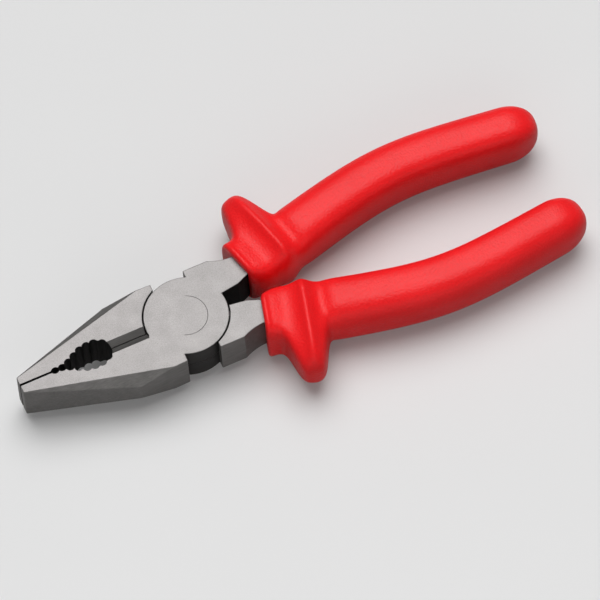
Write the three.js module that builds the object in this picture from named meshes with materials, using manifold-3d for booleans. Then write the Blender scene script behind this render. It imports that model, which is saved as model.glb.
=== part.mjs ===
// Combination pliers, closed: two identical half-lap levers, one flush rivet and two moulded grip sleeves.
// Millimetres, +Z up. The pivot axis is Z, the origin lies on the underside of the head,
// -X points to the jaw tips and +X to the handles. Each lever has its jaw at -Y and its handle at +Y,
// and the second lever is the first one turned over about X.
import * as THREE from 'three';
import { mergeVertices } from 'three/addons/utils/BufferGeometryUtils.js';
import Module from 'manifold-3d';

// Head and lap joint
const HEAD_THICKNESS = 14.4;
const DISC_RADIUS = 13.1;
const JOINT_GAP = 0.3;
const SHOULDER_STEP = 1.2;
const JAW_SHOULDER = 5.7;
const TANG_SHOULDER = 5.1;

// Jaws
const JAW_LENGTH = 55.1;
const TIP_WIDTH = 5.6;
const CHEEK_SETBACK = 8.5;
const CHEEK_WIDTH = 29.5;
const CHAMFER_DEPTH = 3.5;
const CHAMFER_RUNOUT = 10.9;
const TIP_FLAT = 10.5;
const SERRATION_PITCH = 1.15;
const SERRATION_DEPTH = 0.35;
const SERRATION_MARGIN = 0.9;

// Pipe grip and cutter
const SCALLOP_COUNT = 8;
const SCALLOP_PITCH = 2.35;
const SCALLOP_RADIUS = 1.45;
const SHALLOW_SCALLOPS = 1;
const SCALLOP_DEPTH = 1.1;
const PIPE_GRIP_DEPTH = 4.9;
const PIPE_GRIP_DEEPEST = 6;
const PIPE_GRIP_FULLNESS = 4;
const PIPE_GRIP_REAR_RADIUS = 3.9;
const PIPE_GRIP_REAR_REACH = 1;
const CUTTER_HALF_WIDTH = 2.2;
const CUTTER_DEPTH = 1.3;

// Rivet
const RIVET_HEAD_RADIUS = 6.4;
const RIVET_SHANK_RADIUS = 4.9;
const RIVET_RIM = 0.6;
const RIVET_GAP = 0.3;

// Tangs, from the disc into the grips
const TANG_REACH = 8.5;
const TANG_OFFSET = 8.6;
const TANG_WIDTH = 7.9;
const TANG_STEP = 8;
const TANG_KINK = 5.6;
const TANG_KINK_OFFSET = 3.1;
const TANG_ROOT_OFFSET = 2.3;
const TANG_LENGTH = 86;
const TANG_THICKNESS = 10;
const NECK_START = 4;
const NECK_LENGTH = 9;

// Grip sleeves, along the handle's curved centre line
const GRIP_END = 124.9;
const GRIP_END_OFFSET = 16.9;
const GRIP_START_ANGLE = 15.2;
const GRIP_END_ANGLE = -6.6;
const GRIP_START_PULL = 0.58;
const GRIP_END_PULL = 0.5;
const COLLAR_WIDTH = 16.9;
const COLLAR_HEIGHT = 19.6;
const COLLAR_LENGTH = 6;
const COLLAR_BULGE = 0.8;
const COLLAR_BLEND = 9.8;
const GRIP_ROOT_WIDTH = 17.5;
const GRIP_END_WIDTH = 14.7;
const GRIP_HEIGHT = 18.9;
const LIP_RADIUS = 1;
const FIN_POSITION = 13;
const FIN_FRONT = 6.5;
const FIN_BACK = 4.9;
const FIN_REACH = 12.2;
const RIM_HALF_WIDTH = 3.6;
const RIM_HEIGHT = 1.1;
const RIM_SIDE = 0.7;
const CAP_LENGTH = 10.4;
const GRIP_FIT = 0.3;

// Roundness of the grip's sections: 2 is an ellipse, higher is squarer
const COLLAR_SQUARENESS = 6;
const INNER_SQUARENESS = 3.2;
const OUTER_SQUARENESS = 2.8;
const FIN_SQUARENESS = 3;
const FIN_FRONT_SWEEP = 4.2;
const FIN_BACK_SWEEP = 4.4;
const RIM_SWEEP = 2.5;
const CAP_FULLNESS = 0.8;

// Fineness of curved faces
const ROUND_SEGMENTS = 72;
const SCALLOP_SEGMENTS = 20;
const SECTION_POINTS = 32;
const LIP_STEPS = 3;
const FIN_STEP = 0.9;
const GRIP_STEP = 6;
const CAP_STEPS = 6;
const OVERCUT = 1;
const WELD_DISTANCE = 1e-4;

const wasm = await Module();
wasm.setup();

// Sizes that follow from the driving dimensions
const halfHead = HEAD_THICKNESS / 2;
const halfGap = JOINT_GAP / 2;
const shoulderWidth = DISC_RADIUS + SHOULDER_STEP;
const cheek = new THREE.Vector2(-DISC_RADIUS - CHEEK_SETBACK, -CHEEK_WIDTH / 2);
const tipCorner = new THREE.Vector2(-JAW_LENGTH, -TIP_WIDTH / 2);
const gripStart = new THREE.Vector2(DISC_RADIUS + TANG_REACH, TANG_OFFSET);
const pipeGripStart = -JAW_LENGTH + TIP_FLAT;
const pipeGripEnd = pipeGripStart + SCALLOP_PITCH * SCALLOP_COUNT;

// Turn a closed three.js geometry into a solid that can be joined and cut.
function solid(geometry) {
  const plain = geometry.clone();
  plain.deleteAttribute('normal');
  plain.deleteAttribute('uv');
  const merged = mergeVertices(plain, WELD_DISTANCE);
  const triVerts = Uint32Array.from(merged.index.array);
  const vertProperties = Float32Array.from(merged.attributes.position.array);
  return new wasm.Manifold(new wasm.Mesh({ numProp: 3, vertProperties, triVerts }));
}

// Turn a solid back into a three.js mesh.
function meshOf(name, body, material) {
  const { vertProperties, triVerts } = body.getMesh();
  const geometry = new THREE.BufferGeometry();
  geometry.setAttribute('position', new THREE.BufferAttribute(vertProperties, 3));
  geometry.setIndex(new THREE.BufferAttribute(triVerts, 1));
  geometry.computeVertexNormals();
  const mesh = new THREE.Mesh(geometry, material);
  mesh.name = name;
  return mesh;
}

// Extrude an outline along one axis. Its points are (x, y) along z, (y, z) along x and (z, x) along y.
function prism(points, from, to, along = 'z') {
  const shape = points instanceof THREE.Shape
    ? points : new THREE.Shape(points.map(([u, v]) => new THREE.Vector2(u, v)));
  const geometry = new THREE.ExtrudeGeometry(shape, { depth: to - from, bevelEnabled: false });
  geometry.translate(0, 0, from);
  const axes = { x: [1, 0, 0], y: [0, 1, 0], z: [0, 0, 1] };
  const order = { x: ['y', 'z', 'x'], y: ['z', 'x', 'y'], z: ['x', 'y', 'z'] }[along];
  const basis = order.map((axis) => new THREE.Vector3(...axes[axis]));
  geometry.applyMatrix4(new THREE.Matrix4().makeBasis(...basis));
  return solid(geometry);
}

// A round bar on the Z direction, which may taper from its bottom to its top radius.
function round(bottomRadius, topRadius, from, to, segments, x = 0, y = 0) {
  const geometry = new THREE.CylinderGeometry(topRadius, bottomRadius, to - from, segments);
  geometry.rotateX(Math.PI / 2);
  geometry.translate(x, y, (from + to) / 2);
  return solid(geometry);
}

// Jaw blank: straight side from the tip to the cheek, then back to the shoulder beside the disc.
function jawBlank() {
  const outline = [
    [tipCorner.x, -halfGap],
    [tipCorner.x, tipCorner.y],
    [cheek.x, cheek.y],
    [-JAW_SHOULDER, -shoulderWidth],
    [-JAW_SHOULDER, -DISC_RADIUS / 2],
    [-DISC_RADIUS / 2, -halfGap],
  ];
  return prism(outline, -halfHead, halfHead);
}

// Bevel along a jaw's outer edge, from nothing at the tip to its full depth at the cheek.
function jawChamfer() {
  const runout = new THREE.Vector2(-CHAMFER_RUNOUT, -shoulderWidth);
  const along = runout.clone().sub(tipCorner);
  const angle = along.angle();
  const width = -cheek.clone().sub(tipCorner).rotateAround(new THREE.Vector2(), -angle).y;
  const steepness = CHAMFER_DEPTH / width;
  const reach = 2 * width;
  const section = [
    [OVERCUT / steepness, halfHead + OVERCUT],
    [-reach, halfHead - steepness * reach],
    [-reach, halfHead + OVERCUT],
  ];
  const length = along.length() + shoulderWidth;
  const upper = prism(section, -OVERCUT, length, 'x');
  const lower = prism(section.map(([y, z]) => [y, -z]), -OVERCUT, length, 'x');
  const turn = THREE.MathUtils.radToDeg(angle);
  return upper.add(lower).rotate([0, 0, turn]).translate([tipCorner.x, tipCorner.y, 0]);
}

// Depth of the pipe grip below the meeting face: shallow at the tip side, then an arch.
function pipeGripDepth(x) {
  const rise = pipeGripStart + SHALLOW_SCALLOPS * SCALLOP_PITCH;
  const deepest = pipeGripEnd - PIPE_GRIP_DEEPEST;
  const deepening = THREE.MathUtils.smoothstep(x, rise, deepest);
  const fall = Math.max(x - deepest, 0) / PIPE_GRIP_DEEPEST;
  const arch = Math.sqrt(1 - fall ** PIPE_GRIP_FULLNESS);
  return THREE.MathUtils.lerp(SCALLOP_DEPTH, PIPE_GRIP_DEPTH, deepening) * arch;
}

// Pipe grip: a hollow with round scallops and a round rear end, cut through the whole jaw.
function pipeGrip() {
  const bottom = -halfHead - OVERCUT;
  const top = halfHead + OVERCUT;
  const centres = Array.from({ length: SCALLOP_COUNT }, (_, index) => {
    const x = pipeGripStart + SCALLOP_PITCH * (index + 0.5);
    return [x, SCALLOP_RADIUS - pipeGripDepth(x)];
  });
  const mouth = 2 * SCALLOP_RADIUS;
  const rear = pipeGripEnd + PIPE_GRIP_REAR_REACH - PIPE_GRIP_REAR_RADIUS;
  const hollow = prism([[pipeGripStart, mouth], ...centres, [rear, mouth]], bottom, top);
  const end = round(PIPE_GRIP_REAR_RADIUS, PIPE_GRIP_REAR_RADIUS, bottom, top, ROUND_SEGMENTS, rear, 0);
  return centres.reduce((all, [x, y]) =>
    all.add(round(SCALLOP_RADIUS, SCALLOP_RADIUS, bottom, top, SCALLOP_SEGMENTS, x, y)), hollow.add(end));
}

// Cutter: both faces slope down to the cutting edge, as far as the disc.
function cutter() {
  const slope = CUTTER_DEPTH / CUTTER_HALF_WIDTH;
  const edge = halfHead - CUTTER_DEPTH;
  const section = [
    [-CUTTER_HALF_WIDTH - OVERCUT / slope, halfHead + OVERCUT],
    [0, edge],
    [OVERCUT, edge],
    [OVERCUT, halfHead + OVERCUT],
  ];
  const upper = prism(section, pipeGripEnd - OVERCUT, -DISC_RADIUS / 2, 'x');
  const lower = prism(section.map(([y, z]) => [y, -z]), pipeGripEnd - OVERCUT, -DISC_RADIUS / 2, 'x');
  return upper.add(lower);
}

// Fine grooves across the flat at the tip, stopping short of both faces.
function serrations() {
  const count = Math.floor((TIP_FLAT - SERRATION_PITCH) / SERRATION_PITCH);
  const reach = halfHead - SERRATION_MARGIN;
  const grooves = Array.from({ length: count }, (_, index) => {
    const x = -JAW_LENGTH + SERRATION_PITCH * (index + 1);
    const half = SERRATION_PITCH / 2;
    const outline = [[x - half, OVERCUT], [x - half, -halfGap], [x, -halfGap - SERRATION_DEPTH],
      [x + half, -halfGap], [x + half, OVERCUT]];
    return prism(outline, -reach, reach);
  });
  return grooves.reduce((all, groove) => all.add(groove));
}

// Centre line of the handle, a curve that bows outwards and comes back a little at its end.
function handleLine() {
  const end = new THREE.Vector2(GRIP_END, GRIP_END_OFFSET);
  const span = end.distanceTo(gripStart);
  const arm = (pull, degrees) => new THREE.Vector2(pull * span, 0)
    .rotateAround(new THREE.Vector2(), THREE.MathUtils.degToRad(degrees));
  const first = gripStart.clone().add(arm(GRIP_START_PULL, GRIP_START_ANGLE));
  const second = end.clone().sub(arm(GRIP_END_PULL, GRIP_END_ANGLE));
  return new THREE.CubicBezierCurve(gripStart, first, second, end);
}

const handleCurve = handleLine();
const gripLength = handleCurve.getLength();

// Place and outward direction on the centre line, at a distance from the grip's front.
function onHandle(distance) {
  const share = THREE.MathUtils.clamp(distance / gripLength, 0, 1);
  const tangent = handleCurve.getTangentAt(share);
  const point = handleCurve.getPointAt(share);
  if (distance < 0) point.addScaledVector(tangent, distance);
  return { point, outward: new THREE.Vector2(-tangent.y, tangent.x) };
}

// Tang bar inside the grip: full thickness at the collar, then thinned. A margin makes its cavity.
function tangBar(margin) {
  const start = -TANG_WIDTH / 2;
  const steps = Math.ceil((TANG_LENGTH - start) / GRIP_STEP);
  const half = TANG_WIDTH / 2 + margin;
  const stations = Array.from({ length: steps + 1 }, (_, index) =>
    onHandle(start + ((TANG_LENGTH + margin - start) * index) / steps));
  const side = (sign) => stations.map(({ point, outward }) =>
    point.clone().addScaledVector(outward, sign * half).toArray());
  const bar = prism([...side(-1), ...side(1).reverse()], -halfHead - margin, halfHead + margin);
  const neckStart = onHandle(NECK_START).point.x;
  const neckEnd = onHandle(NECK_START + NECK_LENGTH).point.x;
  const thin = TANG_THICKNESS / 2 + margin;
  const section = [
    [halfHead + margin, neckStart], [thin, neckEnd], [thin, GRIP_END],
    [halfHead + OVERCUT, GRIP_END], [halfHead + OVERCUT, neckStart],
  ];
  const sideReach = GRIP_END;
  const upper = prism(section, -sideReach, sideReach, 'y');
  const lower = prism(section.map(([z, x]) => [-z, x]), -sideReach, sideReach, 'y');
  return bar.subtract(upper).subtract(lower);
}

// Tang plate between the disc and the grip, with a hollow relief on its outer edge.
function tangPlate() {
  const { point, outward } = onHandle(0);
  const outer = point.clone().addScaledVector(outward, TANG_WIDTH / 2);
  const inner = point.clone().addScaledVector(outward, -TANG_WIDTH / 2);
  const stepX = TANG_SHOULDER + TANG_STEP;
  const shape = new THREE.Shape();
  shape.moveTo(TANG_SHOULDER, DISC_RADIUS / 2);
  shape.lineTo(DISC_RADIUS / 2, TANG_ROOT_OFFSET);
  shape.lineTo(DISC_RADIUS, TANG_ROOT_OFFSET);
  shape.lineTo(DISC_RADIUS + TANG_KINK, TANG_KINK_OFFSET);
  shape.lineTo(inner.x, inner.y);
  shape.lineTo(outer.x, outer.y);
  shape.quadraticCurveTo((stepX + outer.x) / 2, outer.y, stepX, shoulderWidth);
  shape.lineTo(TANG_SHOULDER, shoulderWidth);
  return prism(shape, -halfHead, halfHead);
}

// Turned profile of the rivet: a flush countersunk head at each end. A margin makes its bore.
function rivetBody(margin, overrun) {
  const head = RIVET_HEAD_RADIUS + margin;
  const shank = RIVET_SHANK_RADIUS + margin;
  const rim = halfHead - RIVET_RIM;
  const neck = rim - (RIVET_HEAD_RADIUS - RIVET_SHANK_RADIUS);
  const top = halfHead + overrun;
  const corners = [
    [0, -top], [head, -top], [head, -rim], [shank, -neck],
    [shank, neck], [head, rim], [head, top], [0, top],
  ];
  const profile = corners.map(([radius, z]) => new THREE.Vector2(radius, z));
  const geometry = new THREE.LatheGeometry(profile, ROUND_SEGMENTS);
  geometry.rotateX(Math.PI / 2);
  return solid(geometry);
}

// One lever: jaw, upper half-lap disc and tang in one forging.
function lever() {
  const disc = round(DISC_RADIUS, DISC_RADIUS, halfGap, halfHead, ROUND_SEGMENTS);
  const pocketRadius = DISC_RADIUS + JOINT_GAP;
  const pocket = round(pocketRadius, pocketRadius, -halfHead - OVERCUT, halfGap, ROUND_SEGMENTS);
  const cuts = jawChamfer().add(pipeGrip()).add(cutter()).add(serrations());
  const jaw = jawBlank().subtract(cuts);
  const tang = tangPlate().add(tangBar(0));
  return jaw.add(tang).subtract(pocket).add(disc).subtract(rivetBody(RIVET_GAP, OVERCUT));
}

// Share of a swelling that fades away from its crest, squarer with a higher sweep.
function swelling(offset, halfWidth, sweep) {
  return Math.exp(-(Math.abs(offset / halfWidth) ** sweep));
}

// Sizes of the grip's section at a distance from its front.
function gripSection(distance) {
  const { lerp, smoothstep } = THREE.MathUtils;
  const blend = smoothstep(distance, COLLAR_LENGTH, COLLAR_LENGTH + COLLAR_BLEND);
  const offset = distance - FIN_POSITION;
  const fin = offset < 0
    ? swelling(offset, FIN_FRONT, FIN_FRONT_SWEEP) : swelling(offset, FIN_BACK, FIN_BACK_SWEEP);
  const rim = swelling(offset, RIM_HALF_WIDTH, RIM_SWEEP);
  const half = lerp(COLLAR_WIDTH, lerp(GRIP_ROOT_WIDTH, GRIP_END_WIDTH, distance / gripLength), blend) / 2;
  const outerSquareness = lerp(COLLAR_SQUARENESS, OUTER_SQUARENESS, blend);
  return {
    inner: half + RIM_SIDE * rim,
    outer: half + COLLAR_BULGE * (1 - blend) + FIN_REACH * fin,
    height: lerp(COLLAR_HEIGHT, GRIP_HEIGHT, blend) / 2 + RIM_HEIGHT * rim,
    innerSquareness: lerp(COLLAR_SQUARENESS, INNER_SQUARENESS, blend),
    outerSquareness: lerp(outerSquareness, FIN_SQUARENESS, fin),
  };
}

// Sections along the grip: a rolled lip, close steps past the fin, wide steps, then a domed end.
function gripStations() {
  const stations = [];
  for (let step = 0; step <= LIP_STEPS; step += 1) {
    const angle = (step / LIP_STEPS) * (Math.PI / 2);
    const distance = LIP_RADIUS * (1 - Math.cos(angle));
    const inset = LIP_RADIUS * (1 - Math.sin(angle));
    stations.push({ distance, inset, cap: 1 });
  }
  const spread = (from, to, step) => {
    const count = Math.max(Math.ceil((to - from) / step), 1);
    for (let index = 1; index <= count; index += 1) {
      stations.push({ distance: from + ((to - from) * index) / count, inset: 0, cap: 1 });
    }
  };
  const finEnd = FIN_POSITION + 2 * FIN_BACK;
  const capStart = gripLength - CAP_LENGTH;
  spread(LIP_RADIUS, finEnd, FIN_STEP);
  spread(finEnd, capStart, GRIP_STEP);
  for (let step = 1; step <= CAP_STEPS; step += 1) {
    const angle = (step / CAP_STEPS) * (Math.PI / 2);
    const distance = capStart + CAP_LENGTH * Math.sin(angle);
    stations.push({ distance, inset: 0, cap: Math.cos(angle) ** CAP_FULLNESS });
  }
  return stations;
}

// One ring of points around the grip.
function gripRing({ distance, inset, cap }) {
  const { point, outward } = onHandle(distance);
  const { inner, outer, height, innerSquareness, outerSquareness } = gripSection(distance);
  return Array.from({ length: SECTION_POINTS }, (_, index) => {
    const angle = (index / SECTION_POINTS) * 2 * Math.PI;
    const [reach, squareness] = Math.cos(angle) > 0 ? [outer, outerSquareness] : [inner, innerSquareness];
    const rounded = (value) => Math.sign(value) * Math.abs(value) ** (2 / squareness);
    const across = rounded(Math.cos(angle)) * (reach - inset) * cap;
    const up = rounded(Math.sin(angle)) * (height - inset) * cap;
    return [point.x + outward.x * across, point.y + outward.y * across, up];
  });
}

// One grip sleeve: rings joined into a closed skin, hollowed for the tang.
function grip() {
  const stations = gripStations();
  const rings = stations.slice(0, -1).map(gripRing);
  const front = onHandle(0).point;
  const end = onHandle(gripLength).point;
  const points = [...rings.flat(), [front.x, front.y, 0], [end.x, end.y, 0]];
  const frontIndex = points.length - 2;
  const endIndex = points.length - 1;
  const last = (rings.length - 1) * SECTION_POINTS;
  const faces = [];
  for (let index = 0; index < SECTION_POINTS; index += 1) {
    const next = (index + 1) % SECTION_POINTS;
    faces.push([frontIndex, next, index], [endIndex, last + index, last + next]);
    for (let base = 0; base < last; base += SECTION_POINTS) {
      const above = base + SECTION_POINTS;
      faces.push([base + index, base + next, above + next], [base + index, above + next, above + index]);
    }
  }
  const geometry = new THREE.BufferGeometry();
  geometry.setAttribute('position', new THREE.Float32BufferAttribute(points.flat(), 3));
  geometry.setIndex(faces.flat());
  return solid(geometry).subtract(tangBar(GRIP_FIT));
}

// Finishes
const groundSteel = () => new THREE.MeshStandardMaterial({ color: 0xbdbab6, metalness: 1, roughness: 0.38 });
const redSleeve = () => new THREE.MeshStandardMaterial({ color: 0xf2262b, metalness: 0, roughness: 0.45 });

// Assembly: the second lever and its grip are the first ones turned over about X.
const leverBody = lever();
const gripBody = grip();
const upperHalf = new THREE.Group();
upperHalf.add(meshOf('lever_upper_lap', leverBody, groundSteel()));
upperHalf.add(meshOf('grip_far', gripBody, redSleeve()));
const lowerHalf = new THREE.Group();
lowerHalf.rotation.x = Math.PI;
lowerHalf.add(meshOf('lever_lower_lap', leverBody, groundSteel()));
lowerHalf.add(meshOf('grip_near', gripBody, redSleeve()));

const pliers = new THREE.Group();
pliers.add(upperHalf, lowerHalf, meshOf('pivot_rivet', rivetBody(0, 0), groundSteel()));
pliers.position.z = halfHead;

export default pliers;
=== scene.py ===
"""Looks of the combination pliers: ground steel levers, a flush rivet and moulded red sleeves."""
import logging
import math
from collections.abc import Mapping, Sequence
from dataclasses import dataclass, field, fields
from enum import Enum
from functools import partial

import bmesh
import bpy
from mathutils import Matrix, Quaternion, Vector


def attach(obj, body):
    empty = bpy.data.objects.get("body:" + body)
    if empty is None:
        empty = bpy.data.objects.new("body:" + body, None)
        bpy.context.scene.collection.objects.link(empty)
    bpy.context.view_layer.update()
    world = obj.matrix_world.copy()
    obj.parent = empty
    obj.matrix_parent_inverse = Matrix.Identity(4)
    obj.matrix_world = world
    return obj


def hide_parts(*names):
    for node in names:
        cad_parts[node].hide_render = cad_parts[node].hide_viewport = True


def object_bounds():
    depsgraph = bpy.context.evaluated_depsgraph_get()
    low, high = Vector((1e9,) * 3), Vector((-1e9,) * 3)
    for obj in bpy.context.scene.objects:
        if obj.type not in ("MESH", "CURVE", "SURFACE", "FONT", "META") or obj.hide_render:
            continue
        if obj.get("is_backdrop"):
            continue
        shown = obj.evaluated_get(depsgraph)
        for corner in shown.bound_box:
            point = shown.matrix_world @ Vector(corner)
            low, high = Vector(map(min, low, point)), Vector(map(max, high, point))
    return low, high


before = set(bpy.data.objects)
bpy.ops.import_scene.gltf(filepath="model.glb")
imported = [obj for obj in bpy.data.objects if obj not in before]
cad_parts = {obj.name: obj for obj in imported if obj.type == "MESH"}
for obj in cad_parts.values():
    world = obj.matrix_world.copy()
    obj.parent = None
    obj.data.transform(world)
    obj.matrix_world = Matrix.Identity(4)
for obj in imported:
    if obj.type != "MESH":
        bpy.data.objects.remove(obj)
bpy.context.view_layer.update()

MM = 0.001
MATH = "ShaderNodeMath"
RANGE = "ShaderNodeMapRange"
VECTOR = "ShaderNodeVectorMath"
NOISE = "ShaderNodeTexNoise"
MIX = "ShaderNodeMix"
PRINCIPLED = "ShaderNodeBsdfPrincipled"
PAINTED_SHADE = "recess"
HEAD_THICKNESS = 14.4 * MM

log = logging.getLogger("pliers")
Feed = bpy.types.NodeSocket | bpy.types.Node | float | tuple


class Body(Enum):
    """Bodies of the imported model."""

    UPPER = "upper_lever"
    LOWER = "lower_lever"


class Slot(Enum):
    """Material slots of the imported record."""

    STEEL = "ground_steel"
    SLEEVE = "red_sleeve"


class Side(Enum):
    """Handle that a sleeve sits on, and its turn about X, in degrees."""

    FAR = 0
    NEAR = 180

    def placement(self) -> Matrix:
        """Move from the far handle to this one, about the middle of the head's thickness."""
        middle = Matrix.Translation((0, 0, HEAD_THICKNESS / 2))
        return middle @ Matrix.Rotation(math.radians(self.value), 4, "X") @ middle.inverted()


def linear(code: str) -> tuple[float, float, float, float]:
    """Turn an sRGB hex colour into linear light.

    Args:
        code: Colour as "#rrggbb".

    Returns:
        Linear red, green, blue and an alpha of 1.
    """
    channels = [int(code[place:place + 2], 16) / 255 for place in (1, 3, 5)]
    lit = [c / 12.92 if c <= 0.04045 else ((c + 0.055) / 1.055) ** 2.4 for c in channels]
    return (*lit, 1.0)


def add_node(
    tree: bpy.types.NodeTree,
    kind: str,
    settings: dict[str, object] | None = None,
    links: Mapping[str | int, Feed] | Sequence[Feed] = (),
) -> bpy.types.Node:
    """Add one node to a tree, with its settings and what feeds it.

    Args:
        tree: Tree that takes the node.
        kind: Blender's name for the kind of node.
        settings: Node properties by name.
        links: What goes into each input, by name or number, or in order from the first:
            a socket, a node for its first output, or a plain value.

    Returns:
        The new node.
    """
    node = tree.nodes.new(kind)
    for name, value in (settings or {}).items():
        setattr(node, name, value)
    feeds = links if isinstance(links, Mapping) else dict(enumerate(links))
    for key, source in feeds.items():
        if isinstance(source, bpy.types.Node):
            tree.links.new(source.outputs[0], node.inputs[key])
        elif isinstance(source, bpy.types.NodeSocket):
            tree.links.new(source, node.inputs[key])
        else:
            node.inputs[key].default_value = source
    return node


def new_material(name: str) -> tuple[bpy.types.Material, bpy.types.NodeTree, bpy.types.Node]:
    """Make an empty node material.

    Args:
        name: Name of the material.

    Returns:
        The material, its tree and its output node.
    """
    material = bpy.data.materials.new(name)
    material.use_nodes = True
    material.node_tree.nodes.clear()
    return material, material.node_tree, add_node(material.node_tree, "ShaderNodeOutputMaterial")


def make_plain(obj: bpy.types.Object) -> bpy.types.Object:
    """Turn an object's evaluated shape into its own plain mesh, with no modifiers left.

    Args:
        obj: Object with modifiers.

    Returns:
        The same object.
    """
    evaluated = obj.evaluated_get(bpy.context.evaluated_depsgraph_get())
    mesh = bpy.data.meshes.new_from_object(evaluated)
    obj.modifiers.clear()
    obj.data = mesh
    return obj


def show_mesh(name: str, mesh: bpy.types.Mesh) -> bpy.types.Object:
    """Put a mesh into the scene at the origin.

    Args:
        name: Name of the piece.
        mesh: Its mesh.

    Returns:
        The new object.
    """
    obj = bpy.data.objects.new(name, mesh)
    bpy.context.scene.collection.objects.link(obj)
    return obj


@dataclass(frozen=True)
class GroundSteel:
    """Forged chrome-vanadium steel: broad faces ground bright; sides and edges darker, partly a belt finish
    and partly painted shade.
    """

    name: str = "Forged steel, satin ground"
    ground: str = "#9a9796"
    # Darker tone of faces that stand up: partly a belt finish, partly painted shade.
    belted: str = "#888684"
    # Near black: painted shade for gaps, hollows, the closing line and the cutter.
    recess: str = "#1b1a1a"
    roughness: float = 0.52
    roughness_spread: float = 0.1
    grit: float = 0.35 * MM
    grit_detail: float = 3.0
    grit_breakup: float = 0.6
    grit_span: tuple[float, float] = (0.25, 0.75)
    grit_tone: tuple[float, float] = (0.74, 1.2)
    streak: float = 5 * MM
    blotch: float = 7 * MM
    blotch_detail: float = 4.0
    blotch_breakup: float = 0.65
    blotch_span: tuple[float, float] = (0.3, 0.7)
    blotch_tone: tuple[float, float] = (0.9, 1.08)
    scratch_depth: float = 0.006 * MM
    scratch_strength: float = 0.5
    belted_below: float = 0.9
    ground_above: float = 0.97

    def material(self) -> bpy.types.Material:
        """Build the steel: fine grain on top, lengthwise streaks on the sides, painted shade in gaps and
        hollows.

        Returns:
            The material.
        """
        material, tree, output = new_material(self.name)
        place = add_node(tree, "ShaderNodeTexCoord").outputs["Object"]
        # Grinding gives the tops an even satin sheen with no clear reflection, and the belt leaves streaks
        # along the sides. Faces that stand up get a darker tone than the tops, partly a belt finish and
        # partly painted shade; gaps, hollows, the closing line and the cutter get near-black painted shade.
        # Real grit is about 0.08 mm; it is drawn at 0.35 mm so that it shows at this size of picture.
        grain = add_node(tree, NOISE, links={
            "Vector": place, "Scale": 1 / self.grit, "Detail": self.grit_detail,
            "Roughness": self.grit_breakup})
        along = add_node(tree, "ShaderNodeMapping", links={
            "Vector": place, "Scale": (1 / self.streak, 1 / self.grit, 1 / self.grit)})
        brushed = add_node(tree, NOISE, links={
            "Vector": along, "Scale": 1.0, "Detail": self.grit_detail, "Roughness": self.grit_breakup})
        blotches = add_node(tree, NOISE, links={
            "Vector": place, "Scale": 1 / self.blotch, "Detail": self.blotch_detail,
            "Roughness": self.blotch_breakup})
        normal = add_node(tree, "ShaderNodeNewGeometry").outputs["Normal"]
        facing = add_node(tree, "ShaderNodeSeparateXYZ", links=[normal]).outputs["Z"]
        level = add_node(tree, MATH, {"operation": "ABSOLUTE"}, [facing])
        flat = add_node(tree, RANGE, links=(level, self.belted_below, self.ground_above))
        scratches = add_node(tree, MIX, links={0: flat, 2: brushed, 3: grain})
        # Faces that stand up take the darker tone: partly a belt finish, partly painted shade.
        tone = add_node(tree, MIX, {"data_type": "RGBA"}, {
            0: flat, 6: linear(self.belted), 7: linear(self.ground)}).outputs[2]
        # Painted shade: the face attribute from SteelPiece.shade() turns gaps, hollows, the closing line and
        # the cutter near black.
        inner = add_node(tree, "ShaderNodeAttribute", {"attribute_name": PAINTED_SHADE}).outputs["Fac"]
        walls_in_painted_shade = add_node(tree, MIX, {"data_type": "RGBA"}, {
            0: inner, 6: tone, 7: linear(self.recess)}).outputs[2]
        mottle = add_node(tree, RANGE, links=(blotches, *self.blotch_span, *self.blotch_tone))
        wear = add_node(tree, RANGE, links=(scratches, *self.grit_span, *self.grit_tone))
        worn = add_node(tree, MATH, {"operation": "MULTIPLY"}, (mottle, wear))
        colour = add_node(tree, VECTOR, {"operation": "SCALE"}, {0: walls_in_painted_shade, "Scale": worn})
        gloss = add_node(tree, RANGE, links=(
            scratches, *self.grit_span, self.roughness, self.roughness + self.roughness_spread))
        bump = add_node(tree, "ShaderNodeBump", links={
            "Strength": self.scratch_strength, "Distance": self.scratch_depth, "Height": scratches})
        shader = add_node(tree, PRINCIPLED, links={
            "Base Color": colour, "Metallic": 1.0, "Roughness": gloss, "Normal": bump})
        tree.links.new(shader.outputs[0], output.inputs[0])
        return material


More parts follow.
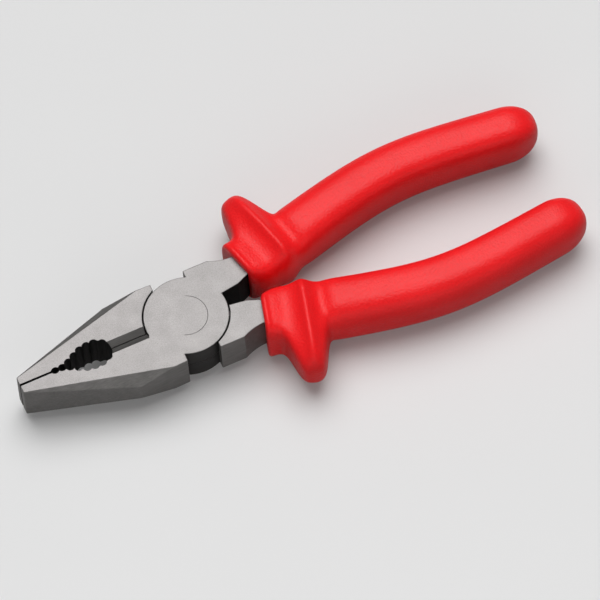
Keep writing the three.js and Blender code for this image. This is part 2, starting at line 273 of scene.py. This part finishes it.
@dataclass(frozen=True)
class MouldedVinyl:
    """Soft PVC moulded over the tang: saturated red, satin, with a fine pebbled skin."""

    name: str = "Soft PVC, moulded satin red"
    red: str = "#fd2024"
    shade: str = "#f71c20"
    roughness: float = 0.32
    roughness_spread: float = 0.1
    specular: float = 0.25
    pebble: float = 0.65 * MM
    pebble_depth: float = 0.14 * MM
    pebble_strength: float = 1.0
    pebble_detail: float = 1.5
    pebble_span: tuple[float, float] = (0.3, 0.7)
    pebble_tone: tuple[float, float] = (0.96, 1.04)
    drift: float = 14 * MM
    drift_detail: float = 2.0
    drift_span: tuple[float, float] = (0.35, 0.65)
    breakup: float = 0.5

    def material(self) -> bpy.types.Material:
        """Build the PVC: pebble bump, slight drift of colour and gloss.

        Returns:
            The material.
        """
        material, tree, output = new_material(self.name)
        place = add_node(tree, "ShaderNodeTexCoord").outputs["Object"]
        # Moulding gives a soft satin red whose pebbled skin breaks the highlight up.
        # Real pebbling is about 0.3 mm; it is drawn at 0.65 mm so that it shows at this size of picture.
        pebbles = add_node(tree, NOISE, links={
            "Vector": place, "Scale": 1 / self.pebble, "Detail": self.pebble_detail,
            "Roughness": self.breakup})
        drift = add_node(tree, NOISE, links={
            "Vector": place, "Scale": 1 / self.drift, "Detail": self.drift_detail,
            "Roughness": self.breakup})
        share = add_node(tree, RANGE, links=(drift, *self.drift_span))
        colour = add_node(tree, MIX, {"data_type": "RGBA"}, {
            0: share, 6: linear(self.shade), 7: linear(self.red)}).outputs[2]
        speckle = add_node(tree, RANGE, links=(pebbles, *self.pebble_span, *self.pebble_tone))
        skin = add_node(tree, VECTOR, {"operation": "SCALE"}, {0: colour, "Scale": speckle})
        gloss = add_node(tree, RANGE, links=(
            pebbles, *self.pebble_span, self.roughness, self.roughness + self.roughness_spread))
        bump = add_node(tree, "ShaderNodeBump", links={
            "Strength": self.pebble_strength, "Distance": self.pebble_depth, "Height": pebbles})
        shader = add_node(tree, PRINCIPLED, links={
            "Base Color": skin, "Roughness": gloss, "Specular IOR Level": self.specular, "Normal": bump})
        tree.links.new(shader.outputs[0], output.inputs[0])
        return material


@dataclass(frozen=True)
class StudioPaper:
    """Seamless background paper: pale grey and quite matte, with a barely uneven tone."""

    name: str = "Background paper, pale grey"
    pale: str = "#e0e0e0"
    deep: str = "#dddddd"
    roughness: float = 0.9
    specular: float = 0.0
    unevenness: float = 90 * MM
    bounce: str = "#858586"
    mirrored: float = 0.45
    glow: float = 0.08

    def material(self) -> bpy.types.Material:
        """Build the paper: pale for the eye, under half of that in reflections, greyer as it lights things.

        Returns:
            The material.
        """
        material, tree, output = new_material(self.name)
        place = add_node(tree, "ShaderNodeTexCoord").outputs["Object"]
        # Uncoated paper gives an even pale ground with no gloss, so only the soft shadow shows on it.
        tone = add_node(tree, NOISE, links={"Vector": place, "Scale": 1 / self.unevenness})
        colour = add_node(tree, MIX, {"data_type": "RGBA"}, {
            0: tone, 6: linear(self.deep), 7: linear(self.pale)}).outputs[2]
        paper = add_node(tree, PRINCIPLED, links={
            "Base Color": colour, "Roughness": self.roughness, "Specular IOR Level": self.specular,
            "Emission Color": colour, "Emission Strength": self.glow})
        ray = add_node(tree, "ShaderNodeLightPath").outputs
        mirrored = add_node(tree, MATH, {"operation": "MULTIPLY"}, (ray["Is Glossy Ray"], self.mirrored))
        seen = add_node(tree, MATH, {"operation": "MAXIMUM"}, (ray["Is Camera Ray"], mirrored))
        grey = add_node(tree, "ShaderNodeBsdfDiffuse", links={"Color": linear(self.bounce)})
        mixed = add_node(tree, "ShaderNodeMixShader", links=(seen, grey, paper))
        tree.links.new(mixed.outputs[0], output.inputs[0])
        return material


@dataclass(frozen=True)
class HandleLine:
    """Centre line of the far handle: a curve that bows outwards and comes back at its end."""

    start: Vector = Vector((21.6 * MM, 8.6 * MM, HEAD_THICKNESS / 2))
    end: Vector = Vector((124.9 * MM, 16.9 * MM, HEAD_THICKNESS / 2))
    start_angle: float = 15.2
    end_angle: float = -6.6
    start_pull: float = 0.58
    end_pull: float = 0.5

    def points(self) -> dict[str, Vector]:
        """Work out the four points of the curve.

        Returns:
            Start, start handle, end handle and end.
        """
        span = (self.end - self.start).length
        first = Vector((self.start_pull * span, 0, 0))
        first.rotate(Matrix.Rotation(math.radians(self.start_angle), 3, "Z"))
        second = Vector((self.end_pull * span, 0, 0))
        second.rotate(Matrix.Rotation(math.radians(self.end_angle), 3, "Z"))
        return {"start": self.start, "start_handle": self.start + first,
                "end_handle": self.end - second, "end": self.end}


@dataclass(frozen=True)
class HandleForm:
    """Sizes of a closed form lofted along the handle. Distances run from the sleeve's front."""

    front: float = 0.0
    reach: float = 1.0
    lip_radius: float = 0.8 * MM
    collar_width: float = 16.9 * MM
    collar_height: float = 19.6 * MM
    collar_length: float = 6.0 * MM
    collar_bulge: float = 0.8 * MM
    mouth_taper: float = 3.0 * MM
    mouth_length: float = 7.0 * MM
    collar_blend: float = 9.8 * MM
    root_width: float = 17.5 * MM
    end_width: float = 14.7 * MM
    height: float = 18.9 * MM
    fin_position: float = 13.0 * MM
    fin_front: float = 6.5 * MM
    fin_back: float = 4.9 * MM
    fin_reach: float = 12.7 * MM
    fin_front_sweep: float = 4.2
    fin_back_sweep: float = 4.4
    rim_half_width: float = 3.6 * MM
    rim_height: float = 0.3 * MM
    rim_side: float = 0.7 * MM
    rim_sweep: float = 2.5
    dip_place: float = 7.0 * MM
    dip_half_width: float = 3.2 * MM
    dip_height: float = -1.0 * MM
    crest_place: float = 13.1 * MM
    crest_half_width: float = 1.9 * MM
    crest_height: float = 1.7 * MM
    valley_place: float = 18.0 * MM
    valley_half_width: float = 2.6 * MM
    valley_height: float = -1.2 * MM
    roll_place: float = 1.1 * MM
    roll_half_width: float = 0.9 * MM
    roll_height: float = 0.5 * MM
    cap_length: float = 10.4 * MM
    cap_fullness: float = 0.8
    collar_squareness: float = 3.8
    inner_squareness: float = 3.2
    outer_squareness: float = 2.5
    fin_squareness: float = 3.0

    def inputs(self, line: HandleLine) -> dict[str, float | Vector]:
        """Name every input of the loft tree with its value.

        Args:
            line: Centre line that the form follows.

        Returns:
            Values by input name.
        """
        return {**line.points(), **{size.name: getattr(self, size.name) for size in fields(self)}}


@dataclass
class LoftTree:
    """Geometry Nodes tree that lofts a HandleForm: lip, collar, finger guard, grip and domed end."""

    names: dict[str, float | Vector]
    material: bpy.types.Material
    stations: int = 240
    segments: int = 96
    lip_steps: int = 8
    cap_steps: int = 28
    crowding: float = 1.6
    curve_steps: int = 200
    weld: float = 0.004 * MM
    tree: bpy.types.NodeTree = field(init=False)

    def __post_init__(self) -> None:
        """Build the tree from its named inputs to the finished mesh."""
        self.tree = bpy.data.node_groups.new("Handle loft", "GeometryNodeTree")
        for name, value in self.names.items():
            kind = "NodeSocketVector" if isinstance(value, Vector) else "NodeSocketFloat"
            self.tree.interface.new_socket(name, in_out="INPUT", socket_type=kind)
        self.tree.interface.new_socket("Geometry", in_out="OUTPUT", socket_type="NodeSocketGeometry")
        add = partial(add_node, self.tree)
        sizes = add("NodeGroupInput").outputs
        grid = add("GeometryNodeMeshGrid", links={
            "Size X": float(self.stations), "Size Y": float(self.segments),
            "Vertices X": self.stations + 1, "Vertices Y": self.segments + 1})
        spot = add("ShaderNodeSeparateXYZ", links=[add("GeometryNodeInputPosition")]).outputs
        rings = self.rings(sizes, spot["X"])
        sections = self.sections(sizes, rings)
        places = self.places(rings, sections, spot["Y"])
        skin = add("GeometryNodeSetPosition", links={"Geometry": grid, "Position": places})
        welded = add("GeometryNodeMergeByDistance", links={"Geometry": skin, "Distance": self.weld})
        outward = add("GeometryNodeFlipFaces", links=[welded])
        smooth = add("GeometryNodeSetShadeSmooth", links=[outward])
        real = add("GeometryNodeRealizeInstances", links=[smooth])
        dressed = add("GeometryNodeSetMaterial", links={"Geometry": real, "Material": self.material})
        add("NodeGroupOutput", links=[dressed])

    def rings(self, sizes: Mapping[str, Feed], row: Feed) -> dict[str, Feed]:
        """Spread the grid's rows over front face, lip, length and domed end.

        Args:
            sizes: The tree's inputs.
            row: Grid coordinate that counts the rows, 0 in the middle.

        Returns:
            Path, its length, and each row's distance, inset and scale.
        """
        add = partial(add_node, self.tree)
        path = add("GeometryNodeCurvePrimitiveBezierSegment", links={
            "Resolution": self.curve_steps, "Start": sizes["start"], "Start Handle": sizes["start_handle"],
            "End Handle": sizes["end_handle"], "End": sizes["end"]})
        length = add("GeometryNodeCurveLength", links=[path])
        half, last = self.stations / 2, float(self.stations)
        lip_end, cap_start, quarter = 1.0 + self.lip_steps, last - self.cap_steps, math.pi / 2
        count = add(MATH, {"operation": "ADD"}, (row, half))
        opened = add(RANGE, links=(count, 0.0, 1.0, 0.0, 1.0))
        lip = add(RANGE, links=(count, 1.0, lip_end, 0.0, quarter))
        middle = add(RANGE, links=(count, lip_end, cap_start, 0.0, 1.0))
        cap = add(RANGE, links=(count, cap_start, last, 0.0, quarter))
        share = add(MATH, {"operation": "POWER"}, (middle, self.crowding))
        lip_cosine = add(MATH, {"operation": "COSINE"}, [lip])
        lip_sine = add(MATH, {"operation": "SINE"}, [lip])
        lip_back = add(MATH, {"operation": "SUBTRACT"}, (1.0, lip_cosine))
        lip_in = add(MATH, {"operation": "SUBTRACT"}, (1.0, lip_sine))
        inset = add(MATH, {"operation": "MULTIPLY"}, (lip_in, sizes["lip_radius"]))
        end = add(MATH, {"operation": "MINIMUM"}, (sizes["reach"], length))
        whole = add(MATH, {"operation": "SUBTRACT"}, (end, sizes["front"]))
        ends = add(MATH, {"operation": "ADD"}, (sizes["lip_radius"], sizes["cap_length"]))
        straight = add(MATH, {"operation": "SUBTRACT"}, (whole, ends))
        cap_sine = add(MATH, {"operation": "SINE"}, [cap])
        on_lip = add(MATH, {"operation": "MULTIPLY_ADD"}, (lip_back, sizes["lip_radius"], sizes["front"]))
        on_length = add(MATH, {"operation": "MULTIPLY_ADD"}, (share, straight, on_lip))
        distance = add(MATH, {"operation": "MULTIPLY_ADD"}, (cap_sine, sizes["cap_length"], on_length))
        cap_cosine = add(MATH, {"operation": "COSINE"}, [cap])
        open_end = add(MATH, {"operation": "MAXIMUM"}, (cap_cosine, 0.0))
        dome = add(MATH, {"operation": "POWER"}, (open_end, sizes["cap_fullness"]))
        scale = add(MATH, {"operation": "MULTIPLY"}, (opened, dome))
        return {"path": path, "length": length, "distance": distance, "inset": inset, "scale": scale}

    def sections(self, sizes: Mapping[str, Feed], rings: Mapping[str, Feed]) -> dict[str, Feed]:
        """Work out the section's sizes at each row.

        Args:
            sizes: The tree's inputs.
            rings: What rings() gave.

        Returns:
            Inner and outer reach, half height, and squareness of both halves.
        """
        add = partial(add_node, self.tree)
        distance = rings["distance"]
        collar_end = add(MATH, {"operation": "ADD"}, (sizes["collar_length"], sizes["collar_blend"]))
        blend = add(RANGE, {"interpolation_type": "SMOOTHSTEP"}, (
            distance, sizes["collar_length"], collar_end, 0.0, 1.0))
        offset = add(MATH, {"operation": "SUBTRACT"}, (distance, sizes["fin_position"]))
        ahead = add(MATH, {"operation": "MINIMUM"}, (offset, 0.0))
        behind = add(MATH, {"operation": "MAXIMUM"}, (offset, 0.0))
        front_share = add(MATH, {"operation": "DIVIDE"}, (ahead, sizes["fin_front"]))
        front_size = add(MATH, {"operation": "ABSOLUTE"}, [front_share])
        back_share = add(MATH, {"operation": "DIVIDE"}, (behind, sizes["fin_back"]))
        front_fade = add(MATH, {"operation": "POWER"}, (front_size, sizes["fin_front_sweep"]))
        back_fade = add(MATH, {"operation": "POWER"}, (back_share, sizes["fin_back_sweep"]))
        fade = add(MATH, {"operation": "ADD"}, (front_fade, back_fade))
        fading = add(MATH, {"operation": "MULTIPLY"}, (fade, -1.0))
        fin = add(MATH, {"operation": "EXPONENT"}, [fading])
        rim_share = add(MATH, {"operation": "DIVIDE"}, (offset, sizes["rim_half_width"]))
        rim_size = add(MATH, {"operation": "ABSOLUTE"}, [rim_share])
        rim_fade = add(MATH, {"operation": "POWER"}, (rim_size, sizes["rim_sweep"]))
        rim_fading = add(MATH, {"operation": "MULTIPLY"}, (rim_fade, -1.0))
        rim = add(MATH, {"operation": "EXPONENT"}, [rim_fading])
        swell: Feed = 0.0
        for name in ("roll", "dip", "crest", "valley"):
            away = add(MATH, {"operation": "SUBTRACT"}, (distance, sizes[f"{name}_place"]))
            share = add(MATH, {"operation": "DIVIDE"}, (away, sizes[f"{name}_half_width"]))
            square = add(MATH, {"operation": "MULTIPLY"}, (share, share))
            falling = add(MATH, {"operation": "MULTIPLY"}, (square, -1.0))
            peak = add(MATH, {"operation": "EXPONENT"}, [falling])
            swell = add(MATH, {"operation": "MULTIPLY_ADD"}, (peak, sizes[f"{name}_height"], swell))
        taper = add(RANGE, links=(distance, 0.0, rings["length"], sizes["root_width"], sizes["end_width"]))
        width = add(RANGE, links=(blend, 0.0, 1.0, sizes["collar_width"], taper))
        tall = add(RANGE, links=(blend, 0.0, 1.0, sizes["collar_height"], sizes["height"]))
        half = add(MATH, {"operation": "MULTIPLY"}, (width, 0.5))
        nearing = add(RANGE, links=(distance, 0.0, sizes["mouth_length"], 1.0, 0.0))
        tapering = add(MATH, {"operation": "MULTIPLY"}, (nearing, nearing))
        taken = add(MATH, {"operation": "MULTIPLY"}, (tapering, sizes["mouth_taper"]))
        narrowed = add(MATH, {"operation": "SUBTRACT"}, (half, taken))
        half_tall = add(MATH, {"operation": "MULTIPLY_ADD"}, (tall, 0.5, swell))
        bulge = add(RANGE, links=(blend, 0.0, 1.0, sizes["collar_bulge"], 0.0))
        outer_side = add(MATH, {"operation": "ADD"}, (half, bulge))
        soft = add(RANGE, links=(blend, 0.0, 1.0, sizes["collar_squareness"], sizes["outer_squareness"]))
        return {
            "inner": add(MATH, {"operation": "MULTIPLY_ADD"}, (rim, sizes["rim_side"], narrowed)),
            "outer": add(MATH, {"operation": "MULTIPLY_ADD"}, (fin, sizes["fin_reach"], outer_side)),
            "height": add(MATH, {"operation": "MULTIPLY_ADD"}, (rim, sizes["rim_height"], half_tall)),
            "inner_squareness": add(RANGE, links=(
                blend, 0.0, 1.0, sizes["collar_squareness"], sizes["inner_squareness"])),
            "outer_squareness": add(RANGE, links=(fin, 0.0, 1.0, soft, sizes["fin_squareness"])),
        }

    def places(
        self, rings: Mapping[str, Feed], sections: Mapping[str, Feed], column: Feed,
    ) -> bpy.types.Node:
        """Put every grid point on its section.

        Args:
            rings: What rings() gave.
            sections: What sections() gave.
            column: Grid coordinate that counts the points of a section, 0 in the middle.

        Returns:
            Node whose first output is the place of each point.
        """
        add = partial(add_node, self.tree)
        count = add(MATH, {"operation": "ADD"}, (column, self.segments / 2))
        turn = add(MATH, {"operation": "FLOORED_MODULO"}, (count, float(self.segments)))
        angle = add(MATH, {"operation": "MULTIPLY"}, (turn, 2 * math.pi / self.segments))
        sideways = add(MATH, {"operation": "COSINE"}, [angle])
        upright = add(MATH, {"operation": "SINE"}, [angle])
        is_outer = add(MATH, {"operation": "GREATER_THAN"}, (sideways, 0.0))
        reach = add(RANGE, links=(is_outer, 0.0, 1.0, sections["inner"], sections["outer"]))
        squareness = add(RANGE, links=(
            is_outer, 0.0, 1.0, sections["inner_squareness"], sections["outer_squareness"]))
        power = add(MATH, {"operation": "DIVIDE"}, (2.0, squareness))
        moves = []
        for wave, extent in ((sideways, reach), (upright, sections["height"])):
            size = add(MATH, {"operation": "ABSOLUTE"}, [wave])
            bent = add(MATH, {"operation": "POWER"}, (size, power))
            sign = add(MATH, {"operation": "SIGN"}, [wave])
            inside = add(MATH, {"operation": "SUBTRACT"}, (extent, rings["inset"]))
            wide = add(MATH, {"operation": "MULTIPLY"}, (inside, rings["scale"]))
            far = add(MATH, {"operation": "MULTIPLY"}, (bent, wide))
            moves.append(add(MATH, {"operation": "MULTIPLY"}, (far, sign)))
        inside_line = add(MATH, {"operation": "MAXIMUM"}, (rings["distance"], 0.0))
        before_line = add(MATH, {"operation": "MINIMUM"}, (rings["distance"], 0.0))
        on_path = add("GeometryNodeSampleCurve", {"mode": "LENGTH", "use_all_curves": True}, {
            "Curves": rings["path"], "Length": inside_line}).outputs
        outward = add(VECTOR, {"operation": "CROSS_PRODUCT"}, ((0.0, 0.0, 1.0), on_path["Tangent"]))
        ahead = add(VECTOR, {"operation": "SCALE"}, {0: on_path["Tangent"], "Scale": before_line})
        aside = add(VECTOR, {"operation": "SCALE"}, {0: outward, "Scale": moves[0]})
        raised = add("ShaderNodeCombineXYZ", links={"Z": moves[1]})
        centre = add(VECTOR, {"operation": "ADD"}, (on_path["Position"], ahead))
        offset = add(VECTOR, {"operation": "ADD"}, (aside, raised))
        return add(VECTOR, {"operation": "ADD"}, (centre, offset))

    def mesh_object(self, name: str, values: dict[str, float | Vector]) -> bpy.types.Object:
        """Evaluate the tree with a set of sizes.

        Args:
            name: Name of the piece.
            values: Value of each named input.

        Returns:
            Object with a plain mesh.
        """
        obj = show_mesh(name, bpy.data.meshes.new(name))
        modifier = obj.modifiers.new("Loft", "NODES")
        modifier.node_group = self.tree
        for item in self.tree.interface.items_tree:
            if item.in_out == "INPUT":
                modifier[item.identifier] = values[item.name]
        return make_plain(obj)


@dataclass
class GripSleeve:
    """Moulded sleeve with a collar, a finger guard and a blind cavity for the tang."""

    node: str
    side: Side
    body: Body
    form: HandleForm = HandleForm()
    line: HandleLine = HandleLine()
    tang_width: float = 7.9 * MM
    tang_thickness: float = 10.0 * MM
    tang_length: float = 86.0 * MM
    neck_start: float = 4.0 * MM
    neck_length: float = 9.0 * MM
    fit: float = 0.3 * MM
    overcut: float = 2.0 * MM
    hollow_squareness: float = 30.0
    hollow_fullness: float = 0.1
    crease_angle: float = 40.0

    def cavity(self) -> HandleForm:
        """Size the hollow that takes the tang, a little larger all round and with no relief.

        Returns:
            Its form, along the same line as the sleeve.
        """
        width = self.tang_width + 2 * self.fit
        return HandleForm(
            front=-self.overcut, reach=self.tang_length + self.fit, lip_radius=0.0, cap_length=self.overcut,
            collar_width=width, root_width=width, end_width=width,
            collar_height=HEAD_THICKNESS + 2 * self.fit, height=self.tang_thickness + 2 * self.fit,
            collar_length=self.neck_start, collar_blend=self.neck_length, collar_bulge=0.0, fin_reach=0.0,
            mouth_taper=0.0, rim_height=0.0, rim_side=0.0, dip_height=0.0, crest_height=0.0,
            valley_height=0.0, roll_height=0.0, cap_fullness=self.hollow_fullness,
            collar_squareness=self.hollow_squareness, inner_squareness=self.hollow_squareness,
            outer_squareness=self.hollow_squareness, fin_squareness=self.hollow_squareness)

    def build(self, vinyl: bpy.types.Material) -> bpy.types.Object:
        """Loft the sleeve and hollow it for the tang.

        Args:
            vinyl: Its material.

        Returns:
            The finished sleeve, in place.
        """
        sizes = self.form.inputs(self.line)
        loft = LoftTree(sizes, vinyl)
        sleeve = loft.mesh_object(f"{self.node}_sleeve", sizes)
        cutter = loft.mesh_object("tang_hollow", self.cavity().inputs(self.line))
        hollow = sleeve.modifiers.new("Hollow", "BOOLEAN")
        hollow.operation, hollow.solver, hollow.object = "DIFFERENCE", "EXACT", cutter
        make_plain(sleeve)
        bpy.data.objects.remove(cutter)
        sleeve.data.transform(self.side.placement())
        sleeve.data.set_sharp_from_angle(angle=math.radians(self.crease_angle))
        return sleeve

    def dress(self, sleeve: bpy.types.Object, vinyl: bpy.types.Material) -> None:
        """Give the sleeve its material and body, and hide its CAD node.

        Args:
            sleeve: Sleeve that build() gave.
            vinyl: Its material.
        """
        sleeve.data.materials.clear()
        sleeve.data.materials.append(vinyl)
        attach(sleeve, self.body.value)
        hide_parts(self.node)


@dataclass
class SteelPiece:
    """Steel piece, taken from its CAD node with its open edges broken."""

    node: str
    body: Body
    edge_break: float = 0.22 * MM
    edge_segments: int = 2
    edge_roundness: float = 0.5
    sharp_angle: float = 20.0
    flatness: float = 0.5
    level: float = 0.995
    upright: float = 0.5
    broad: float = 30 * MM ** 2
    weld: float = 0.001 * MM
    sliver: float = 0.005 * MM
    meeting_band: float = 0.6 * MM
    lap_band: float = 0.4 * MM
    bore_radius: float = 7.0 * MM
    hole_front: float = -45.2 * MM
    hole_rear: float = -24.4 * MM
    hole_half: float = 6.2 * MM
    disc_radius: float = 13.1 * MM
    disc_margin: float = 0.5 * MM
    tip_flat_end: float = -44.0 * MM
    cutter_rear: float = -10.0 * MM
    cutter_half: float = 2.6 * MM
    cutter_shade: float = 0.35
    tang_start: float = 8.0 * MM
    tang_half: float = 9.5 * MM
    rim_shade: float = 0.8

    def in_hole(self, place: Vector) -> bool:
        """Tell whether a point lies at the pipe grip."""
        return self.hole_front < place.x < self.hole_rear and abs(place.y) < self.hole_half

    def on_closing_line(self, place: Vector) -> bool:
        """Tell whether a point lies where the two tips meet."""
        return place.x < self.tip_flat_end and abs(place.y) < self.meeting_band

    def on_cutter(self, place: Vector) -> bool:
        """Tell whether a point lies at the cutter."""
        return self.hole_rear < place.x < self.cutter_rear and abs(place.y) < self.cutter_half

    def shade(self, centre: Vector, normal: Vector) -> float:
        """Say how much painted shade a face gets, standing in for the shade that falls in gaps and hollows.

        Args:
            centre: Middle of the face.
            normal: Its outward direction.

        Returns:
            0 on an open face, 1 on the closing line and between the tangs, and less in the pipe grip,
            on the disc's rim and at the cutter.
        """
        # Painted shade: near black on the closing line and between the tangs, part way on the cutter, less
        # in the pipe grip and on the disc's rim.
        if self.on_closing_line(centre):
            return 1.0
        if self.on_cutter(centre) and abs(normal.z) < self.level:
            return self.cutter_shade
        if abs(normal.z) > self.upright:
            return 0.0
        facing_in = centre.y * normal.y < 0
        between_tangs = centre.x > self.tang_start and abs(centre.y) < self.tang_half and facing_in
        if between_tangs:
            return 1.0
        on_rim = abs(centre.xy.length - self.disc_radius) < self.disc_margin
        return self.rim_shade if on_rim or self.in_hole(centre) else 0.0

    def breaks(self, edge: bmesh.types.BMEdge) -> bool:
        """Tell whether an edge is broken: a sharp one, on the closing line or away from bore, lap and grip.

        Args:
            edge: Edge of the welded copy.

        Returns:
            True where the edge gets its small bevel.
        """
        if not edge.is_manifold or edge.calc_face_angle() < math.radians(self.sharp_angle):
            return False
        ends = [vert.co for vert in edge.verts]
        if all(self.on_closing_line(end) for end in ends):
            return True
        kept_sharp = (
            all(abs(end.y) < self.meeting_band for end in ends)
            or all(abs(end.z - HEAD_THICKNESS / 2) < self.lap_band for end in ends)
            or any(end.xy.length < self.bore_radius or self.in_hole(end) for end in ends)
        )
        return not kept_sharp

    def shape(self, form: bmesh.types.BMesh) -> None:
        """Break the edges of the welded copy.

        Args:
            form: The copy, which is changed.
        """
        edges = [edge for edge in form.edges if self.breaks(edge)]
        bmesh.ops.bevel(form, geom=edges, offset=self.edge_break, offset_type="OFFSET", affect="EDGES",
                        segments=self.edge_segments, profile=self.edge_roundness, clamp_overlap=False)

    def build(self, steel: bpy.types.Material) -> bpy.types.Object:
        """Copy the CAD node, join its loose triangles and finish its edges.

        Args:
            steel: Its material.

        Returns:
            The finished piece, in place.
        """
        form = bmesh.new()
        form.from_mesh(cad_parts[self.node].data)
        bmesh.ops.remove_doubles(form, verts=form.verts, dist=self.weld)
        bmesh.ops.dissolve_limit(
            form, angle_limit=math.radians(self.flatness), verts=form.verts, edges=form.edges)
        self.shape(form)
        bmesh.ops.dissolve_degenerate(form, dist=self.sliver, edges=form.edges)
        form.normal_update()
        # Each face's painted shade goes into a face attribute that the steel material reads.
        layer = form.faces.layers.float.new(PAINTED_SHADE)
        for face in form.faces:
            face[layer] = self.shade(face.calc_center_median(), face.normal)
        mesh = bpy.data.meshes.new(self.node)
        form.to_mesh(mesh)
        form.free()
        mesh.set_sharp_from_angle(angle=math.radians(self.sharp_angle))
        for polygon in mesh.polygons:
            polygon.use_smooth = abs(polygon.normal.z) < self.level and polygon.area < self.broad
        mesh.materials.append(steel)
        return show_mesh(f"{self.node}_ground", mesh)

    def dress(self, piece: bpy.types.Object) -> None:
        """Give the piece its body and hide its CAD node.

        Args:
            piece: Piece that build() gave.
        """
        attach(piece, self.body.value)
        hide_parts(self.node)


@dataclass
class Rivet(SteelPiece):
    """Flush rivet whose head was ground with the lever, so that its line shows on one side only."""

    head_radius: float = 6.4 * MM
    rim_share: float = 0.9
    rim_height: float = 0.7 * MM
    spread: float = 0.295 * MM
    open_side: float = -25.0
    fade: float = 4.0
    least: float = 0.5
    halfway: float = 0.5

    def shape(self, form: bmesh.types.BMesh) -> None:
        """Spread the upper rim into its countersink, away from the side where the line shows.

        Args:
            form: The welded copy, which is changed.
        """
        toward = Vector((math.cos(math.radians(self.open_side)), math.sin(math.radians(self.open_side))))
        for vert in form.verts:
            flat = vert.co.xy
            on_top = vert.co.z > HEAD_THICKNESS - self.rim_height
            if on_top and flat.length > self.rim_share * self.head_radius:
                closing = self.halfway - self.fade * flat.normalized().dot(toward)
                closed = min(max(closing, self.least), 1.0)
                vert.co.xy = flat * (1 + self.spread * closed / flat.length)


@dataclass
class Studio:
    """Pale paper floor, a soft dome of light above and behind, a card in front, and the camera."""

    paper_size: float = 12.0
    clearance: float = 0.02 * MM
    card_size: tuple[float, float] = (1.5, 0.9)
    card_place: Vector = Vector((-0.22, -0.88, 0.35))
    card_power: float = 2.7
    white: str = "#ffffff"
    dome_low: float = 0.13
    dome_high: float = 4.8
    dome_toward: Vector = Vector((0.12, 0.31, 0.943))
    # Cosines of the angle from the dome's middle, where its light begins and where it is full.
    dome_from: float = 0.82
    dome_to: float = 1.0
    aim: Vector = Vector((34.6 * MM, -6.7 * MM, 7.2 * MM))
    distance: float = 2.7407
    azimuth: float = 19.429
    elevation: float = 63.034
    roll: float = 5.431
    lens: float = 540.0

    def floor(self, height: float) -> bpy.types.Object:
        """Lay the paper under the object.

        Args:
            height: Lowest point of the object.

        Returns:
            The floor.
        """
        half = self.paper_size / 2
        mesh = bpy.data.meshes.new("paper")
        level = height - self.clearance
        corners = [(-half, -half, level), (half, -half, level), (half, half, level), (-half, half, level)]
        mesh.from_pydata(corners, [], [(0, 1, 2, 3)])
        mesh.materials.append(StudioPaper().material())
        paper = show_mesh("paper_floor", mesh)
        paper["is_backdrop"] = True
        return paper

    def light(self) -> None:
        """Light the room as one big soft dome, brightest above and behind, with a weak card in front."""
        lamp = bpy.data.lights.new("Front card", "AREA")
        lamp.shape, lamp.energy = "RECTANGLE", self.card_power
        lamp.size, lamp.size_y = self.card_size
        card = bpy.data.objects.new("Front card", lamp)
        card.location = self.card_place
        card.rotation_mode = "QUATERNION"
        card.rotation_quaternion = (self.aim - self.card_place).to_track_quat("-Z", "Y")
        card.visible_camera = False
        bpy.context.scene.collection.objects.link(card)
        world = bpy.data.worlds.new("Studio room")
        world.use_nodes = True
        world.node_tree.nodes.clear()
        add = partial(add_node, world.node_tree)
        toward = add("ShaderNodeTexCoord").outputs["Generated"]
        nearness = add(VECTOR, {"operation": "DOT_PRODUCT"}, (toward, self.dome_toward)).outputs["Value"]
        glow = add(RANGE, {"interpolation_type": "SMOOTHSTEP"}, (
            nearness, self.dome_from, self.dome_to, self.dome_low, self.dome_high))
        room = add("ShaderNodeBackground", links={"Color": linear(self.white), "Strength": glow})
        add("ShaderNodeOutputWorld", links={"Surface": room})
        bpy.context.scene.world = world

    def camera(self) -> None:
        """Set the camera at the picture's angle, far away with a long lens."""
        turn, rise = math.radians(self.azimuth), math.radians(self.elevation)
        forward = Vector((math.sin(turn) * math.cos(rise), math.cos(turn) * math.cos(rise), -math.sin(rise)))
        data = bpy.data.cameras.new("Camera")
        data.lens = self.lens
        camera = bpy.data.objects.new("Camera", data)
        camera.location = self.aim - forward * self.distance
        camera.rotation_mode = "QUATERNION"
        level = forward.to_track_quat("-Z", "Y")
        camera.rotation_quaternion = level @ Quaternion((0, 0, 1), -math.radians(self.roll))
        bpy.context.scene.collection.objects.link(camera)
        bpy.context.scene.camera = camera


def main() -> None:
    """Build the pieces in order, then the studio."""
    logging.basicConfig(level=logging.INFO, format="%(name)s: %(message)s")
    bpy.context.scene.view_settings.view_transform = "Standard"
    steel = GroundSteel().material()
    vinyl = MouldedVinyl().material()
    forgings = [SteelPiece("lever_upper_lap", Body.UPPER), SteelPiece("lever_lower_lap", Body.LOWER),
                Rivet("pivot_rivet", Body.UPPER)]
    for forging in forgings:
        piece = forging.build(steel)
        forging.dress(piece)
        log.info("%s: %d faces on %s", piece.name, len(piece.data.polygons), forging.body.value)
    sleeves = [GripSleeve("grip_far", Side.FAR, Body.UPPER), GripSleeve("grip_near", Side.NEAR, Body.LOWER)]
    for sleeve in sleeves:
        piece = sleeve.build(vinyl)
        sleeve.dress(piece, vinyl)
        log.info("%s: %d faces on %s", piece.name, len(piece.data.polygons), sleeve.body.value)
    low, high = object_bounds()
    studio = Studio()
    studio.floor(low.z)
    studio.light()
    studio.camera()


if __name__ == "__main__":
    main()
